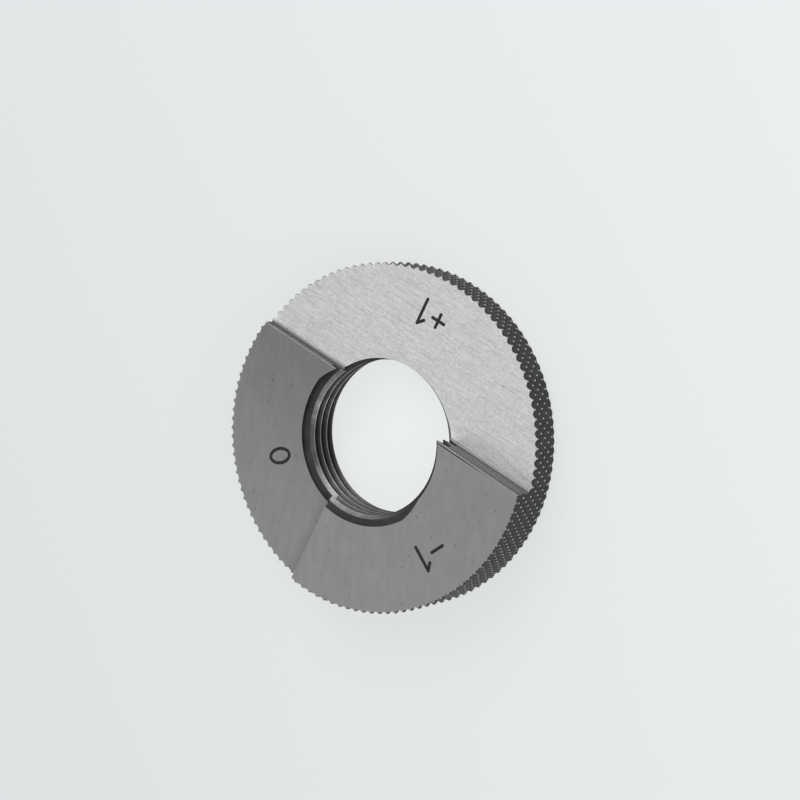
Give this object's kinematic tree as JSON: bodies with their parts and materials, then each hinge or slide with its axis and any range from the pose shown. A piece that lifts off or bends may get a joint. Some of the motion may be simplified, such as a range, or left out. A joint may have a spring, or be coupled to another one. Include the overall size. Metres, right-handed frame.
{
  "type": "thread ring gauge",
  "caption": "Knurled steel ring with a taper pipe thread through it and a front face ground to three step levels, for checking external taper pipe threads.",
  "frame": {"origin": "centre of the large-end face, which the ring lies on", "axes": "+Z along the bore axis, from the large end to the stepped small end; +Y square to the straight step wall, towards the thin half"},
  "size_m": [0.053, 0.053, 0.0104],
  "materials": {
    "gauge_ring": "hardened tool steel: bright ground faces, black oxide in the knurl and thread"
  },
  "bodies": {
    "root": {"gauge_ring": "gauge_ring"}
  },
  "joints": []
}
